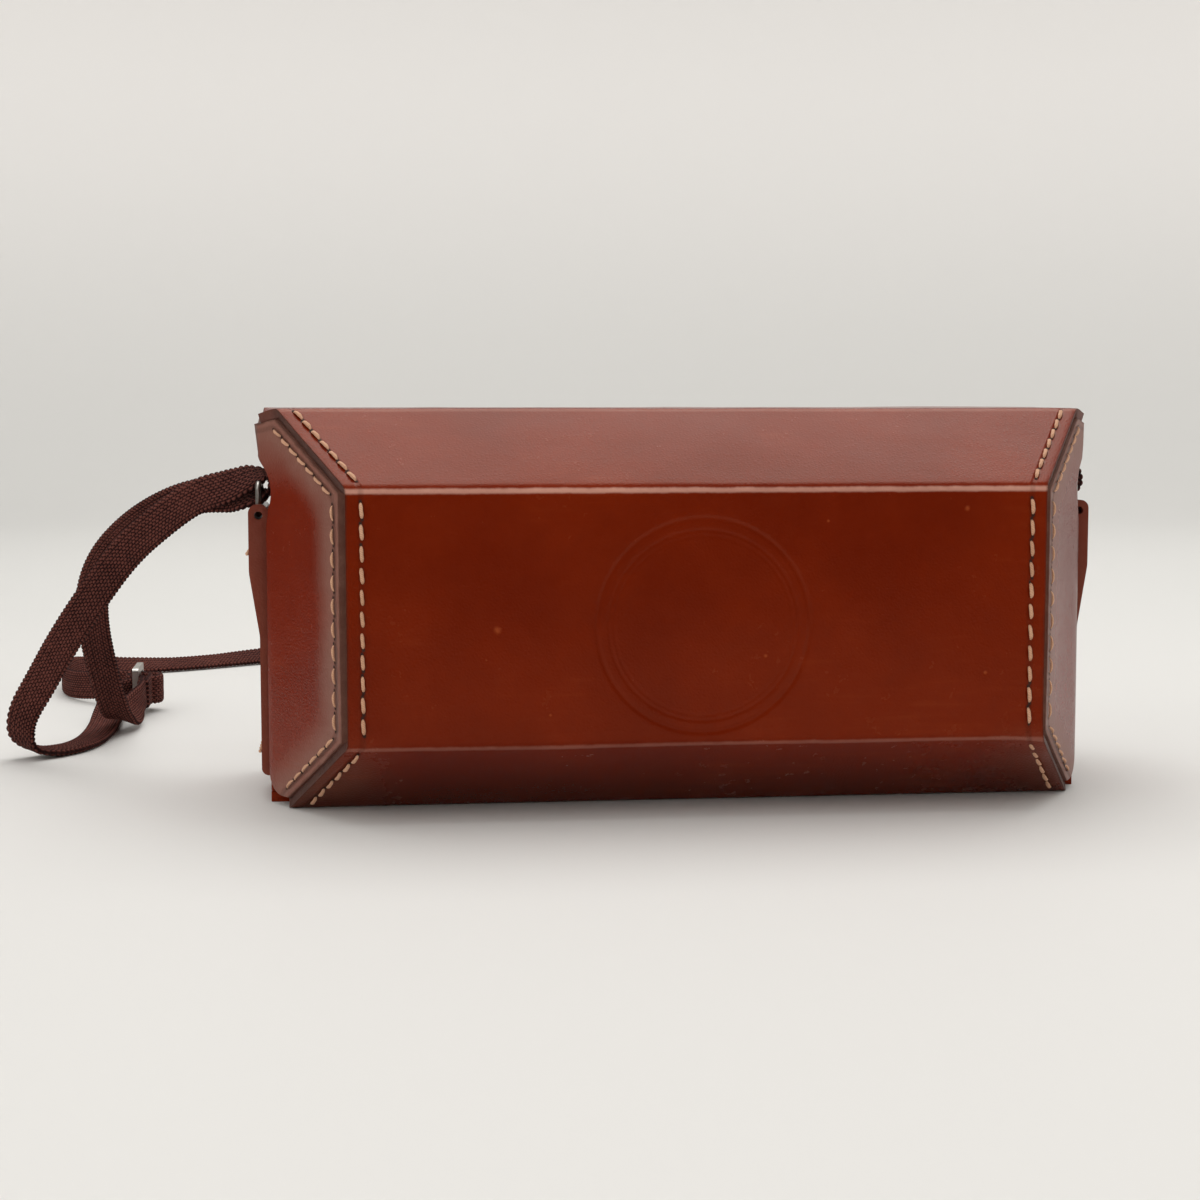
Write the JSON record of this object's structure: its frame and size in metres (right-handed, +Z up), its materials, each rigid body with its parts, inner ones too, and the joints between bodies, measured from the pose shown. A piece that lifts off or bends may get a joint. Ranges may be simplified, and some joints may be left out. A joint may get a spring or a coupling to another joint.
{
  "type": "camera case",
  "caption": "Brown leather ever-ready case for a wide 35 mm camera, with hinged front cover, snap-down flap, base screw and woven neck strap",
  "frame": {"origin": "centre of the case's own bounding box in plan, at the height of the flat base it stands on", "axes": "+X along the case's width to the viewer's right, +Y from the front face to the back flap, +Z up"},
  "size_m": [0.2595, 0.2801, 0.086],
  "materials": {
    "leather": "smooth, semi-gloss, worn",
    "lining_suede": "napped",
    "board": "pressed fibreboard, matt",
    "plated_steel": "nickel plated, worn",
    "plated_brass": "nickel-plated brass",
    "thread": "waxed linen",
    "webbing": "woven, ribbed",
    "tape": "flat tape"
  },
  "bodies": {
    "rear_half": {"rear_wrap": "leather", "rear_side_left": "leather", "rear_side_right": "leather", "rear_lining": "lining_suede", "rear_lining_left": "lining_suede", "rear_lining_right": "lining_suede", "base_board": "board", "hinge_strip_rear": "leather", "hinge_stitches_rear": "thread", "screw_plate": "plated_steel", "snap_stud": "plated_brass", "strap_band_left": "leather", "strap_band_right": "leather", "strap_ring_left": "plated_steel", "strap_ring_right": "plated_steel", "rear_stitches_left": "thread", "rear_stitches_right": "thread", "band_stitches_left": "thread", "band_stitches_right": "thread", "strap_ring_loop": "webbing", "strap_slide": "plated_steel", "strap_slide_loop": "webbing", "strap_right": "webbing", "strap_hank": "webbing", "strap_left": "webbing", "strap_tie": "tape"},
    "front_cover": {"cover_wrap": "leather", "cover_end_left": "leather", "cover_end_right": "leather", "cover_lining_wrap": "lining_suede", "cover_lining_left": "lining_suede", "cover_lining_right": "lining_suede", "hinge_strip_cover": "leather", "wrap_stitches_left": "thread", "wrap_stitches_right": "thread", "end_stitches_left": "thread", "end_stitches_right": "thread"},
    "flap": {"closing_flap": "leather", "snap_socket": "plated_brass", "snap_cap": "plated_brass", "flap_stitches": "thread"},
    "screw": {"camera_screw": "plated_steel", "screw_clip": "plated_steel"}
  },
  "joints": [
    {"name": "cover_hinge", "type": "hinge", "parent": "rear_half", "child": "front_cover", "pos_m": [0, -0.00885, 0], "axis": [1, 0, 0], "range_deg": [0, 150]},
    {"name": "flap_hinge", "type": "hinge", "parent": "front_cover", "child": "flap", "pos_m": [0, 0.03275, 0.086], "axis": [1, 0, 0], "range_deg": [0, 110]},
    {"name": "screw_turn", "type": "hinge", "parent": "rear_half", "child": "screw", "pos_m": [0, 0.01335, 0.002], "axis": [0, 0, 1], "continuous": true}
  ]
}
